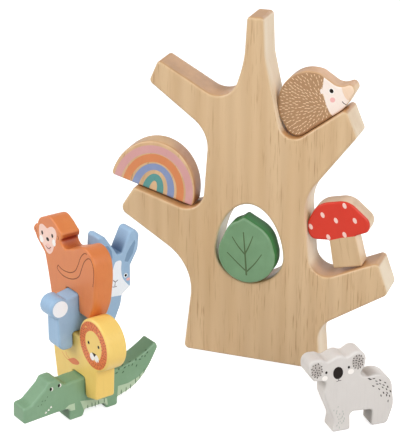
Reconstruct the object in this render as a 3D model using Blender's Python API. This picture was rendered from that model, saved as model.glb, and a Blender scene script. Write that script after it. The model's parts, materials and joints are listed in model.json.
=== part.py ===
"""Balancing tree game: a thick wooden tree board with three branch forks and a hollow,
and nine loose wooden pieces that sit on it or stack on each other.

Units are metres, +Z is up. The origin is the middle of the tree's foot, on the floor.
The tree's broad front face looks along -Y. Every piece is a flat board with a rounded
outline and rounded rims. Outlines are drawn in the board's own plane: x along the
board, z up, with the board's thickness along y and its printed face towards -y.
"""

import math

import bmesh
import bpy
import numpy as np

# Sizes shared by the pieces
PIECE_THICKNESS = 0.016
RIM_ROUND = 0.0016
TOUCH_GAP = 0.0003
SEAT_GAP = 0.0004
STRADDLE_CLEARANCE = 0.0005
STRADDLE_ROUND = 0.003
STRADDLE_TOP_ROUND = 0.002

# Smoothness of the rounded stretches
ARC_STEP = math.radians(15)
RIM_STEPS = 2
HOLLOW_POINTS = 36
SMALLEST_TURN = math.radians(1)
SHARP_EDGE = math.radians(50)
SHARPEST_MITRE = 0.5
NEAREST_POINTS = 0.00001
NEAREST_STOP = 0.000003

# Tree board
TREE_HEIGHT = 0.280
TREE_WIDTH = 0.215
TREE_THICKNESS = 0.027
TREE_RIM_ROUND = 0.002

# Corners of the tree's outline, clockwise from the spike: across as a share of the
# half width, up and rounding as shares of the height.
TREE_CORNER_SHARES = {
    "spike_left": (-0.060, 1.000, 0.011),
    "spike_right": (0.062, 1.000, 0.011),
    "spike_right_foot": (0.074, 0.893, 0.150),
    "fork_upper_right": (0.217, 0.645, 0.043),
    "upper_right_tip_top": (0.660, 0.775, 0.011),
    "upper_right_tip_bottom": (0.743, 0.700, 0.011),
    "armpit_right": (0.377, 0.511, 0.125),
    "fork_lower_right": (0.440, 0.263, 0.051),
    "lower_right_tip_top": (0.930, 0.351, 0.012),
    "lower_right_tip_bottom": (1.015, 0.262, 0.018),
    "root_right": (0.501, 0.133, 0.080),
    "foot_right": (0.530, 0.000, 0.014),
    "foot_left": (-0.530, 0.000, 0.014),
    "root_left": (-0.448, 0.264, 0.150),
    "lower_left_tip_bottom": (-1.033, 0.406, 0.022),
    "lower_left_tip_top": (-0.915, 0.478, 0.012),
    "fork_lower_left": (-0.386, 0.417, 0.057),
    "armpit_left": (-0.337, 0.666, 0.097),
    "upper_left_tip_bottom": (-0.787, 0.794, 0.014),
    "upper_left_tip_top": (-0.715, 0.857, 0.011),
    "fork_upper_left": (-0.182, 0.745, 0.062),
    "spike_left_foot": (-0.078, 0.881, 0.200),
}

# Hollow through the trunk: an egg standing on its blunt end
HOLLOW_WIDTH = 0.0553
HOLLOW_HEIGHT = 0.0653
HOLLOW_BOTTOM = 0.0667
HOLLOW_LEFT = 0.0027
HOLLOW_BLUNT_SHARE = 0.38
HOLLOW_PINCH_SHARE = 0.08

# Leaf: a round disc drawn up to a small tip, stood in the hollow and a little proud of it
LEAF_WIDTH = 0.0462
LEAF_HEIGHT = 0.0542
LEAF_ROUND_END = math.radians(20)
LEAF_TOP_SHARES = (
    (-0.280, 0.898, 0.253),
    (-0.121, 0.946, 0.070),
    (-0.017, 1.007, 0.041),
    (0.431, 0.779, 0.410),
)
LEAF_PROUD = 0.0025
LEAF_TILT = math.radians(3)

# Hedgehog: along as a share of its length, up and rounding as shares of its height
HEDGEHOG_LENGTH = 0.0640
HEDGEHOG_HEIGHT = 0.0420
HEDGEHOG_SHARES = (
    (-0.100, 0.000, 0.220),
    (-0.050, 0.580, 0.500),
    (0.150, 0.970, 0.600),
    (0.505, 1.005, 0.540),
    (0.665, 0.760, 0.260),
    (0.760, 0.360, 0.240),
    (0.920, 0.310, 0.080),
    (0.900, 0.160, 0.090),
    (0.670, 0.000, 0.650),
)

# Rainbow: half an ellipse on its flat side
RAINBOW_WIDTH = 0.0710
RAINBOW_HEIGHT = 0.0415
RAINBOW_FOOT_ROUND = 0.0025
RAINBOW_LEAN = math.radians(-1.5)

# Mushroom: across as a share of its width, up and rounding as shares of its height
MUSHROOM_WIDTH = 0.0494
MUSHROOM_HEIGHT = 0.0540
MUSHROOM_SHARES = (
    (-0.233, 0.000, 0.035),
    (-0.204, 0.433, 0.028),
    (-0.523, 0.475, 0.118),
    (-0.501, 0.734, 0.261),
    (-0.273, 0.993, 0.305),
    (0.222, 0.990, 0.275),
    (0.515, 0.632, 0.147),
    (0.432, 0.497, 0.078),
    (0.225, 0.461, 0.028),
    (0.241, 0.000, 0.035),
)
MUSHROOM_FORWARD = 0.002
MUSHROOM_LEAN = math.radians(12)

# Crocodile: along as a share of its length, up and rounding as shares of its height
CROCODILE_LENGTH = 0.1180
CROCODILE_HEIGHT = 0.0425
CROCODILE_BACK_SHARE = 0.745
CROCODILE_SHARES = (
    (-0.510, 0.220, 0.050),
    (-0.505, 0.515, 0.055),
    (-0.450, 0.530, 0.160),
    (-0.345, 0.770, 0.080),
    (-0.320, 0.875, 0.070),
    (-0.255, 0.880, 0.100),
    (-0.210, 0.730, 0.140),
    (-0.150, 0.745, 0.150),
)
CROCODILE_TAIL_SHARES = (
    (0.110, 0.745, 0.300),
    (0.155, 0.685, 0.700),
    (0.345, 0.775, 1.450),
    (0.475, 1.000, 0.040),
    (0.495, 0.890, 0.085),
    (0.435, 0.610, 0.800),
    (0.340, 0.270, 0.800),
    (0.175, 0.150, 0.040),
    (0.180, 0.000, 0.055),
    (0.085, 0.000, 0.055),
    (0.085, 0.110, 0.040),
    (-0.065, 0.125, 0.040),
    (-0.083, 0.000, 0.060),
    (-0.185, 0.000, 0.045),
    (-0.177, 0.230, 0.050),
    (-0.270, 0.240, 0.100),
)

# Lion: its origin is the middle of the arch that rests on the crocodile's back
LION_LENGTH = 0.0780
LION_HEIGHT = 0.0686
LION_LEG_DROP = 0.0162
LION_BACK = 0.0315
LION_HEAD_RADIUS = 0.0200
LION_HEAD_SHARES = (0.287, 0.472)
LION_RUMP_SHARES = (
    (-0.404, -0.236, 0.045),
    (-0.449, 0.110, 0.500),
)
LION_RUMP_TOP_SHARES = (-0.455, 0.170)
LION_LEG_SHARES = (
    (0.333, 0.175, 0.040),
    (0.310, -0.178, 0.035),
)
LION_FACE_FROM = math.radians(168)
LION_FACE_TO = math.radians(-72)
LION_NECK_ROUND = 0.002

# Rabbit: its origin is the middle of the arch that rests on the lion's back
RABBIT_LENGTH = 0.0770
RABBIT_HEIGHT = 0.0810
RABBIT_LEG_DROP = 0.0125
RABBIT_BACK = 0.0295
RABBIT_TAIL_RADIUS = 0.0082
RABBIT_TAIL_SHARES = (-0.240, 0.268)
RABBIT_TAIL_FROM = math.radians(-105)
RABBIT_TAIL_TO = math.radians(-315)
RABBIT_RUMP_SHARES = (
    (-0.268, -0.154, 0.075),
)
RABBIT_BACK_START_SHARE = -0.040
RABBIT_BACK_END_SHARE = 0.190
RABBIT_HEAD_SHARES = (
    (0.216, 0.520, 0.120),
    (0.199, 0.741, 0.148),
    (0.211, 0.867, 0.031),
    (0.276, 0.855, 0.054),
    (0.422, 0.639, 0.055),
    (0.463, 0.647, 0.028),
    (0.594, 0.889, 0.046),
    (0.669, 0.793, 0.057),
    (0.653, 0.645, 0.154),
    (0.563, 0.506, 0.039),
    (0.561, 0.298, 0.032),
    (0.462, 0.230, 0.028),
    (0.443, 0.136, 0.149),
    (0.300, -0.154, 0.045),
)

# Monkey: its origin is the middle of the arch that rests on the rabbit's back
MONKEY_LENGTH = 0.0787
MONKEY_HEIGHT = 0.0642
MONKEY_LEG_DROP = 0.0150
MONKEY_SHARES = (
    (-0.384, -0.234, 0.050),
    (-0.436, 0.053, 0.498),
    (-0.480, 0.262, 0.093),
    (-0.624, 0.393, 0.078),
    (-0.650, 0.445, 0.030),
    (-0.700, 0.491, 0.047),
    (-0.644, 0.566, 0.039),
    (-0.610, 0.573, 0.029),
    (-0.576, 0.667, 0.139),
    (-0.369, 0.779, 0.157),
    (-0.252, 0.711, 0.093),
    (-0.189, 0.657, 0.028),
    (-0.150, 0.633, 0.034),
    (-0.157, 0.574, 0.030),
    (-0.184, 0.540, 0.031),
    (-0.143, 0.451, 0.092),
    (0.071, 0.550, 0.312),
    (0.223, 0.638, 0.182),
    (0.399, 0.572, 0.202),
    (0.417, 0.303, 0.500),
    (0.367, -0.039, 0.500),
    (0.284, -0.234, 0.061),
)

# Koala: along as a share of its length, up and rounding as shares of its height
KOALA_LENGTH = 0.0685
KOALA_HEIGHT = 0.0635
KOALA_SHARES = (
    (-0.310, 0.000, 0.032),
    (-0.285, 0.155, 0.130),
    (-0.415, 0.495, 0.260),
    (-0.390, 0.675, 0.040),
    (-0.530, 0.700, 0.045),
    (-0.600, 0.810, 0.075),
    (-0.600, 0.970, 0.090),
    (-0.445, 0.965, 0.110),
    (-0.385, 0.920, 0.060),
    (-0.240, 0.990, 0.210),
    (-0.165, 0.940, 0.130),
    (-0.065, 1.005, 0.105),
    (0.070, 0.980, 0.125),
    (0.050, 0.795, 0.120),
    (-0.015, 0.690, 0.045),
    (0.085, 0.650, 0.065),
    (0.240, 0.675, 0.235),
    (0.370, 0.570, 0.215),
    (0.410, 0.235, 0.300),
    (0.340, 0.000, 0.060),
    (0.150, 0.000, 0.032),
    (0.153, 0.215, 0.030),
    (-0.105, 0.235, 0.055),
    (-0.095, 0.000, 0.032),
)

# Places on the floor
STACK_ACROSS = -0.0889
STACK_FORWARD = -0.1316
STACK_TURN = math.radians(55.9)
RABBIT_SIDE_STEP = 0.013
MONKEY_SIDE_STEP = 0.0046
KOALA_ACROSS = 0.1042
KOALA_FORWARD = -0.0852
KOALA_TURN = math.radians(38.8)

# Colour, roughness and metallic value of each piece's finish
FINISHES = {
    "bare_wood": ((0.64, 0.44, 0.25), 0.55),
    "brown_print": ((0.43, 0.23, 0.11), 0.55),
    "leaf_green": ((0.17, 0.33, 0.19), 0.45),
    "cap_red": ((0.68, 0.06, 0.03), 0.45),
    "monkey_orange": ((0.66, 0.21, 0.05), 0.45),
    "rabbit_blue": ((0.28, 0.45, 0.66), 0.45),
    "lion_yellow": ((0.84, 0.62, 0.20), 0.45),
    "crocodile_green": ((0.20, 0.40, 0.23), 0.45),
    "koala_grey": ((0.65, 0.63, 0.60), 0.50),
    "rainbow_wood": ((0.68, 0.48, 0.30), 0.55),
}


def clear_scene():
    for old in list(bpy.data.objects):
        bpy.data.objects.remove(old, do_unlink=True)


def scaled(shares, length, height):
    """Corners (x, z, rounding) from a table of shares of a length and a height."""
    return [(x * length, z * height, r * height) for x, z, r in shares]


def arc(centre, radius, start, end):
    """Points of an arc from one angle to another, as corners that need no rounding."""
    steps = max(1, math.ceil(abs(end - start) / ARC_STEP))
    angles = [start + (end - start) * i / steps for i in range(steps + 1)]
    return [
        (centre[0] + radius * math.cos(a), centre[1] + radius * math.sin(a), 0)
        for a in angles
    ]


def rounded(corners):
    """The closed outline through these corners, each turned into an arc of its rounding.

    Where two neighbouring roundings would need more than the edge between them,
    both are made smaller in step.
    """
    count = len(corners)
    points = [np.array(corner[:2]) for corner in corners]
    edges = [points[(i + 1) % count] - points[i] for i in range(count)]
    lengths = [float(np.linalg.norm(edge)) for edge in edges]
    ways = [edge / length for edge, length in zip(edges, lengths)]
    turns = []
    for i in range(count):
        before, after = ways[i - 1], ways[i]
        cross = before[0] * after[1] - before[1] * after[0]
        turns.append(math.atan2(cross, float(before @ after)))
    cuts = [corners[i][2] * abs(math.tan(turns[i] / 2)) for i in range(count)]
    room = [1.0] * count
    for i in range(count):
        wanted = cuts[i] + cuts[(i + 1) % count]
        if wanted > lengths[i]:
            share = lengths[i] / wanted
            room[i] = min(room[i], share)
            room[(i + 1) % count] = min(room[(i + 1) % count], share)
    outline = []
    for i in range(count):
        cut = cuts[i] * room[i]
        radius = corners[i][2] * room[i]
        if abs(turns[i]) < SMALLEST_TURN or radius <= 0:
            outline.append(points[i])
            continue
        side = math.copysign(1, turns[i])
        start = points[i] - ways[i - 1] * cut
        inward = np.array((-ways[i - 1][1], ways[i - 1][0])) * side
        centre = start + inward * radius
        steps = max(1, math.ceil(abs(turns[i]) / ARC_STEP))
        for step in range(steps + 1):
            angle = turns[i] * step / steps
            spoke = start - centre
            outline.append(
                centre
                + (
                    spoke[0] * math.cos(angle) - spoke[1] * math.sin(angle),
                    spoke[0] * math.sin(angle) + spoke[1] * math.cos(angle),
                )
            )
    return tidy(outline)


def tidy(outline):
    """The outline as an array without doubled points, running clockwise."""
    steps = [np.linalg.norm(point - outline[i - 1]) for i, point in enumerate(outline)]
    kept = np.array([point for point, step in zip(outline, steps) if step > NEAREST_POINTS])
    following = np.roll(kept, -1, axis=0)
    area = float((kept[:, 0] * following[:, 1] - following[:, 0] * kept[:, 1]).sum())
    return kept[::-1] if area > 0 else kept


def inset(outline, amount, into):
    """The outline moved sideways by an amount: into +1 shrinks it, -1 widens it."""
    before = outline - np.roll(outline, 1, axis=0)
    after = np.roll(outline, -1, axis=0) - outline
    before = before / np.linalg.norm(before, axis=1)[:, None]
    after = after / np.linalg.norm(after, axis=1)[:, None]
    normals = []
    for a, b in zip(before, after):
        normal = np.array((a[1] + b[1], -a[0] - b[0]))
        normal = normal / np.linalg.norm(normal)
        lean = max(SHARPEST_MITRE, float(normal @ (a[1], -a[0])))
        normals.append(normal / lean)
    return outline + np.array(normals) * amount * into


def rim_rings(thickness, rim_round):
    """(inset, depth) of each ring from the front face round both rims to the back."""
    front = []
    for step in range(RIM_STEPS + 1):
        angle = math.pi / 2 * step / RIM_STEPS
        front.append(
            (
                rim_round * (1 - math.sin(angle)),
                -thickness / 2 + rim_round * (1 - math.cos(angle)),
            )
        )
    return front + [(amount, -depth) for amount, depth in reversed(front)]


def board(name, outline, thickness, rim_round, finish, hollow=None):
    """A flat board with rounded rims, with or without a hollow right through it."""
    vertices = []
    faces = []
    loops = [(outline, 1)]
    if hollow is not None:
        loops.append((hollow, -1))
    rings = rim_rings(thickness, rim_round)
    caps = ([], [])
    for loop, into in loops:
        ring_starts = []
        for amount, depth in rings:
            ring_starts.append(len(vertices))
            for x, z in inset(loop, amount, into):
                vertices.append((x, depth, z))
        count = len(loop)
        for near, far in zip(ring_starts, ring_starts[1:]):
            for i in range(count):
                j = (i + 1) % count
                quad = (near + i, near + j, far + j, far + i)
                faces.append(quad if into > 0 else quad[::-1])
        caps[0].append([ring_starts[0] + i for i in range(count)])
        caps[1].append([ring_starts[-1] + i for i in range(count)])
    mesh = bpy.data.meshes.new(name)
    if hollow is None:
        faces.append(tuple(reversed(caps[0][0])))
        faces.append(tuple(caps[1][0]))
        mesh.from_pydata(vertices, [], faces)
    else:
        mesh.from_pydata(vertices, [], faces)
        cap_with_hole(mesh, caps)
    mesh.validate()
    piece = bpy.data.objects.new(name, mesh)
    bpy.context.scene.collection.objects.link(piece)
    mesh.shade_smooth()
    mesh.set_sharp_from_angle(angle=SHARP_EDGE)
    mesh.materials.append(finish)
    return piece


def cap_with_hole(mesh, caps):
    """Closes the front and the back of a board that has a hollow."""
    form = bmesh.new()
    form.from_mesh(mesh)
    form.verts.ensure_lookup_table()
    for loops in caps:
        edges = []
        for loop in loops:
            for i, index in enumerate(loop):
                pair = (form.verts[index], form.verts[loop[(i + 1) % len(loop)]])
                edges.append(form.edges.get(pair))
        bmesh.ops.triangle_fill(form, use_beauty=True, use_dissolve=False, edges=edges)
    bmesh.ops.recalc_face_normals(form, faces=form.faces)
    form.to_mesh(mesh)
    form.free()


def turned(points, angle):
    """Points turned in the board's plane, counterclockwise as the front face shows it."""
    cos, sin = math.cos(angle), math.sin(angle)
    return points @ np.array(((cos, sin), (-sin, cos)))


def clearance(one, other):
    """The least distance between two closed outlines that lie clear of each other."""
    least = math.inf
    for points, loop in ((one, other), (other, one)):
        start = loop[None, :, :]
        run = np.roll(loop, -1, axis=0)[None, :, :] - start
        along = ((points[:, None, :] - start) * run).sum(2) / (run * run).sum(2)
        nearest = start + run * np.clip(along, 0, 1)[:, :, None]
        gaps = np.linalg.norm(points[:, None, :] - nearest, axis=2)
        least = min(least, float(gaps.min()))
    return least


def lowered(outline, start, way, neighbour):
    """Where the outline stops when it moves from start along way towards its neighbour."""
    place = np.array(start)
    way = np.array(way)
    while True:
        room = clearance(outline + place, neighbour) - TOUCH_GAP
        if room < NEAREST_STOP:
            return place
        place = place + way * room


def tree_corner(name):
    across, up, _ = TREE_CORNER_SHARES[name]
    return np.array((across * TREE_WIDTH / 2, up * TREE_HEIGHT))


def tree_outline():
    corners = [
        (across * TREE_WIDTH / 2, up * TREE_HEIGHT, turn * TREE_HEIGHT)
        for across, up, turn in TREE_CORNER_SHARES.values()
    ]
    return rounded(corners)


def hollow_outline():
    """An egg: below its widest level an ellipse, above it a longer one drawn in."""
    below = HOLLOW_HEIGHT * HOLLOW_BLUNT_SHARE
    above = HOLLOW_HEIGHT - below
    points = []
    for i in range(HOLLOW_POINTS):
        angle = 2 * math.pi * i / HOLLOW_POINTS
        up = math.cos(angle)
        rise = above if up > 0 else below
        drawn_in = 1 - HOLLOW_PINCH_SHARE * max(up, 0)
        across = HOLLOW_WIDTH / 2 * math.sin(angle) * drawn_in
        points.append(np.array((across - HOLLOW_LEFT, HOLLOW_BOTTOM + below + rise * up)))
    return tidy(points)


def leaf_outline():
    """A circle most of the way round, closed above by shoulders and a small tip."""
    radius = LEAF_WIDTH / 2
    corners = arc((0, radius), radius, LEAF_ROUND_END, -math.pi - LEAF_ROUND_END)
    return rounded(corners + scaled(LEAF_TOP_SHARES, LEAF_WIDTH, LEAF_HEIGHT))


def rainbow_outline():
    """Half an ellipse, closed by a flat side with rounded ends."""
    half = RAINBOW_WIDTH / 2
    steps = math.ceil(math.pi / ARC_STEP) * 2
    corners = []
    for i in range(steps + 1):
        angle = math.pi * (1 - i / steps)
        corners.append((half * math.cos(angle), RAINBOW_HEIGHT * math.sin(angle), 0))
    corners[0] = (-half, 0, RAINBOW_FOOT_ROUND)
    corners[-1] = (half, 0, RAINBOW_FOOT_ROUND)
    return rounded(corners)


def mushroom_outline():
    return rounded(scaled(MUSHROOM_SHARES, MUSHROOM_WIDTH, MUSHROOM_HEIGHT))


def straddle(leg_drop):
    """The corners of an arch that fits over another piece, from its right leg to its left.

    The arch's top is at height zero, on the back of the piece below.
    """
    half = PIECE_THICKNESS / 2 + STRADDLE_CLEARANCE
    return [
        (half, -leg_drop, STRADDLE_ROUND),
        (half, 0, STRADDLE_TOP_ROUND),
        (-half, 0, STRADDLE_TOP_ROUND),
        (-half, -leg_drop, STRADDLE_ROUND),
    ]


def crocodile_outline():
    shares = CROCODILE_SHARES + CROCODILE_TAIL_SHARES
    return rounded(scaled(shares, CROCODILE_LENGTH, CROCODILE_HEIGHT))


def lion_outline():
    head = (LION_HEAD_SHARES[0] * LION_LENGTH, LION_HEAD_SHARES[1] * LION_HEIGHT)
    rump_x = LION_RUMP_TOP_SHARES[0] * LION_LENGTH
    rump_round = LION_RUMP_TOP_SHARES[1] * LION_HEIGHT
    corners = straddle(LION_LEG_DROP)
    corners += scaled(LION_RUMP_SHARES, LION_LENGTH, LION_HEIGHT)
    corners.append((rump_x, LION_BACK, rump_round))
    corners.append((head[0] - LION_HEAD_RADIUS, LION_BACK, LION_NECK_ROUND))
    corners += arc(head, LION_HEAD_RADIUS, LION_FACE_FROM, LION_FACE_TO)
    corners += scaled(LION_LEG_SHARES, LION_LENGTH, LION_HEIGHT)
    return rounded(corners)


def rabbit_outline():
    tail = (RABBIT_TAIL_SHARES[0] * RABBIT_LENGTH, RABBIT_TAIL_SHARES[1] * RABBIT_HEIGHT)
    corners = straddle(RABBIT_LEG_DROP)
    corners += scaled(RABBIT_RUMP_SHARES, RABBIT_LENGTH, RABBIT_HEIGHT)
    corners += arc(tail, RABBIT_TAIL_RADIUS, RABBIT_TAIL_FROM, RABBIT_TAIL_TO)
    corners.append((RABBIT_BACK_START_SHARE * RABBIT_LENGTH, RABBIT_BACK, STRADDLE_ROUND))
    corners.append((RABBIT_BACK_END_SHARE * RABBIT_LENGTH, RABBIT_BACK, STRADDLE_ROUND))
    corners += scaled(RABBIT_HEAD_SHARES, RABBIT_LENGTH, RABBIT_HEIGHT)
    return rounded(corners)


def monkey_outline():
    corners = straddle(MONKEY_LEG_DROP)
    corners += scaled(MONKEY_SHARES, MONKEY_LENGTH, MONKEY_HEIGHT)
    return rounded(corners)


def koala_outline():
    return rounded(scaled(KOALA_SHARES, KOALA_LENGTH, KOALA_HEIGHT))


def finishes():
    made = {}
    for name, (colour, roughness) in FINISHES.items():
        material = bpy.data.materials.new(name)
        material.use_nodes = True
        surface = material.node_tree.nodes["Principled BSDF"]
        surface.inputs["Base Color"].default_value = (*colour, 1)
        surface.inputs["Roughness"].default_value = roughness
        surface.inputs["Metallic"].default_value = 0
        made[name] = material
    return made


def seat_in_fork(piece, outline, lean, forward, fork, seat_end, tree):
    """Stands a piece on a branch and slides it down the branch until it meets the trunk.

    Without a lean its underside lies along the branch.
    """
    corner = tree_corner(fork)
    along = tree_corner(seat_end) - corner
    along = along / np.linalg.norm(along)
    normal = np.array((-along[1], along[0])) * math.copysign(1, along[0])
    tilt = math.atan2(-normal[0], normal[1]) - lean
    shape = turned(outline, tilt)
    start = tree_corner(seat_end) + normal * (SEAT_GAP - float((shape @ normal).min()))
    place = lowered(shape, start, -along, tree)
    piece.location = (place[0], -forward, place[1])
    piece.rotation_euler = (0, -tilt, 0)


def build():
    clear_scene()
    finish = finishes()
    tree = tree_outline()
    hollow = hollow_outline()
    board("tree", tree, TREE_THICKNESS, TREE_RIM_ROUND, finish["bare_wood"], hollow)

    leaf = leaf_outline()
    piece = board("leaf", leaf, PIECE_THICKNESS, RIM_ROUND, finish["leaf_green"])
    inside = (-HOLLOW_LEFT, HOLLOW_BOTTOM + (HOLLOW_HEIGHT - LEAF_HEIGHT) / 2)
    place = lowered(turned(leaf, LEAF_TILT), inside, (0, -1), hollow)
    back = (PIECE_THICKNESS - TREE_THICKNESS) / 2 - LEAF_PROUD
    piece.location = (place[0], back, place[1])
    piece.rotation_euler = (0, -LEAF_TILT, 0)

    hedgehog = rounded(scaled(HEDGEHOG_SHARES, HEDGEHOG_LENGTH, HEDGEHOG_HEIGHT))
    piece = board("hedgehog", hedgehog, PIECE_THICKNESS, RIM_ROUND, finish["brown_print"])
    seat_in_fork(piece, hedgehog, 0, 0, "fork_upper_right", "upper_right_tip_top", tree)

    rainbow = rainbow_outline()
    piece = board("rainbow", rainbow, PIECE_THICKNESS, RIM_ROUND, finish["rainbow_wood"])
    fork = ("fork_lower_left", "lower_left_tip_top")
    seat_in_fork(piece, rainbow, RAINBOW_LEAN, 0, *fork, tree)

    mushroom = mushroom_outline()
    piece = board("mushroom", mushroom, PIECE_THICKNESS, RIM_ROUND, finish["cap_red"])
    fork = ("fork_lower_right", "lower_right_tip_top")
    seat_in_fork(piece, mushroom, MUSHROOM_LEAN, MUSHROOM_FORWARD, *fork, tree)

    stack = bpy.data.objects.new("stack_place", None)
    bpy.context.scene.collection.objects.link(stack)
    stack.location = (STACK_ACROSS, STACK_FORWARD, 0)
    stack.rotation_euler = (0, 0, STACK_TURN)
    crocodile_back = CROCODILE_BACK_SHARE * CROCODILE_HEIGHT
    lion_seat = crocodile_back + TOUCH_GAP
    rabbit_seat = lion_seat + LION_BACK + TOUCH_GAP
    monkey_seat = rabbit_seat + RABBIT_BACK + TOUCH_GAP
    quarter_turn = -math.pi / 2
    stacked = (
        ("crocodile", crocodile_outline(), "crocodile_green", (0, 0, 0), 0),
        ("lion", lion_outline(), "lion_yellow", (0, 0, lion_seat), quarter_turn),
        ("rabbit", rabbit_outline(), "rabbit_blue", (0, RABBIT_SIDE_STEP, rabbit_seat), 0),
        (
            "monkey",
            monkey_outline(),
            "monkey_orange",
            (MONKEY_SIDE_STEP, RABBIT_SIDE_STEP, monkey_seat),
            quarter_turn,
        ),
    )
    for name, outline, colour, place, turn in stacked:
        piece = board(name, outline, PIECE_THICKNESS, RIM_ROUND, finish[colour])
        piece.parent = stack
        piece.location = place
        piece.rotation_euler = (0, 0, turn)

    piece = board("koala", koala_outline(), PIECE_THICKNESS, RIM_ROUND, finish["koala_grey"])
    piece.location = (KOALA_ACROSS, KOALA_FORWARD, 0)
    piece.rotation_euler = (0, 0, KOALA_TURN)


build()
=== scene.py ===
# %% [markdown]
# # A balancing tree game
# The toy is a tree sawn from one thick board, with nine smaller boards that sit in its
# forks, stack on each other or stand beside it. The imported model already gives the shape
# and place of every board, and it could be rendered as it is. Its rims are coarse and it
# has no pictures, so this script builds each board again with finer rims, cuts its picture
# into its front, and paints or varnishes the rest.

import json
import math

import bmesh
import bpy
import numpy as np
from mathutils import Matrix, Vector
from mathutils.geometry import delaunay_2d_cdt

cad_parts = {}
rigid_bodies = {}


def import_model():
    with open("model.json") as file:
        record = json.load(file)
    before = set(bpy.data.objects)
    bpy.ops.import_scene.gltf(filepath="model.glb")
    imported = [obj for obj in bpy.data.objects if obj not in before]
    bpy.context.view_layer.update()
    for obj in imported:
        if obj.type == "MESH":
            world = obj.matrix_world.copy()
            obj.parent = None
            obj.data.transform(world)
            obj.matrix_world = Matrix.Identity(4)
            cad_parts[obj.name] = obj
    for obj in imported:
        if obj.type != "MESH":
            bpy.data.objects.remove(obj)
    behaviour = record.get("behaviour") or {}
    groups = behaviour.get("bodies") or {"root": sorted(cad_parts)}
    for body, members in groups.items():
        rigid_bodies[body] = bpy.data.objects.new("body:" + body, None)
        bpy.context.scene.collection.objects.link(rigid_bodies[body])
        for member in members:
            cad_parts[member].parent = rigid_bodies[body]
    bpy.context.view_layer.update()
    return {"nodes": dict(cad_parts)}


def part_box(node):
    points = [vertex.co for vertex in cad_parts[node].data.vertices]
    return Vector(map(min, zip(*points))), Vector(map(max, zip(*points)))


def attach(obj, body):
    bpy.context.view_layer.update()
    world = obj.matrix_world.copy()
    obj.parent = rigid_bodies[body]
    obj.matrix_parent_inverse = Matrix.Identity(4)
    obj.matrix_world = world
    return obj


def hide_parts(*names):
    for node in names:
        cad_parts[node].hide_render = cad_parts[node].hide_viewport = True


for thing in list(bpy.data.objects):
    bpy.data.objects.remove(thing)
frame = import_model()
nodes = frame["nodes"]
MM = 0.001
print("boards:", ", ".join(sorted(nodes)))

# %% [markdown]
# The photograph looks a little down on the tree, from the right of its front. A camera could
# be turned by eye until the render agrees. Here it was solved once from points that show in
# the photograph, such as the tree's corners, so its place, turn and lens are plain numbers.

# %% Camera
CAMERA_PLACE = (0.349165, -1.093817, 0.586592)
CAMERA_DOWN = math.radians(22.43)
CAMERA_AROUND = math.radians(19.94)
CAMERA_LENS = 129.24

SENSOR_WIDTH = 36


def added(name, data):
    """A new object with this data, in the scene."""
    made = bpy.data.objects.new(name, data)
    bpy.context.scene.collection.objects.link(made)
    return made


camera_data = bpy.data.cameras.new("camera")
camera_data.lens = CAMERA_LENS
camera_data.sensor_width = SENSOR_WIDTH
camera_data.clip_start = 0.05
camera_data.clip_end = 20
camera = added("camera", camera_data)
camera.location = CAMERA_PLACE
camera.rotation_euler = (math.pi / 2 - CAMERA_DOWN, 0, CAMERA_AROUND)
bpy.context.scene.camera = camera
print("lens:", CAMERA_LENS, "mm")

# %% [markdown]
# Every finish on this toy is a mixture: pale wood with darker bands, paint with a little
# grain in it. Such mixtures are usually wired by hand in the node editor. In a script they
# read best as ordinary sums, so a `Field` wraps one output of a node, and adding or
# multiplying two of them makes the node that does it. `Net` makes any other node. `Graph`
# starts a material and holds what all finishes share: the place on the board, the noise,
# the rim, the way a face looks, and how open or hemmed in it is.


# %% Shader fields
class Field:
    """One value in a material, which can be used in sums."""

    def __init__(self, graph, socket):
        self.graph = graph
        self.socket = socket

    def maths(self, operation, *others):
        """This value and the others through one Math node."""
        return self.graph.node("ShaderNodeMath", {"operation": operation}, self, *others)[0]

    def __add__(self, other):
        return self.maths("ADD", other)

    def __mul__(self, other):
        return self.maths("MULTIPLY", other)

    def __rsub__(self, other):
        return (self * -1) + other

    __radd__ = __add__
    __rmul__ = __mul__

    def to(self, low, high):
        """This value's run from low to high, turned smoothly into nought to one."""
        smooth = {"interpolation_type": "SMOOTHSTEP"}
        return self.graph.node("ShaderNodeMapRange", smooth, self, low, high)[0]


class Net:
    """A tree of nodes, made one node at a time."""

    def __init__(self, tree):
        self.tree = tree

    def fill(self, node, values):
        """Gives inputs of a node, by their number or name, a field or a constant."""
        for key, value in values.items():
            if isinstance(value, Field):
                self.tree.links.new(value.socket, node.inputs[key])
            elif value is not None:
                node.inputs[key].default_value = value

    def node(self, kind, settings=None, *values, **named):
        """The outputs of a new node; values fill its inputs in order, or by name."""
        made = self.tree.nodes.new(kind)
        for key, value in (settings or {}).items():
            setattr(made, key, value)
        self.fill(made, dict(enumerate(values)) | named)
        return [Field(self, socket) for socket in made.outputs]

    def vector(self, operation, *values):
        """Vectors through one Vector Math node."""
        return self.node("ShaderNodeVectorMath", {"operation": operation}, *values)[0]


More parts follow.
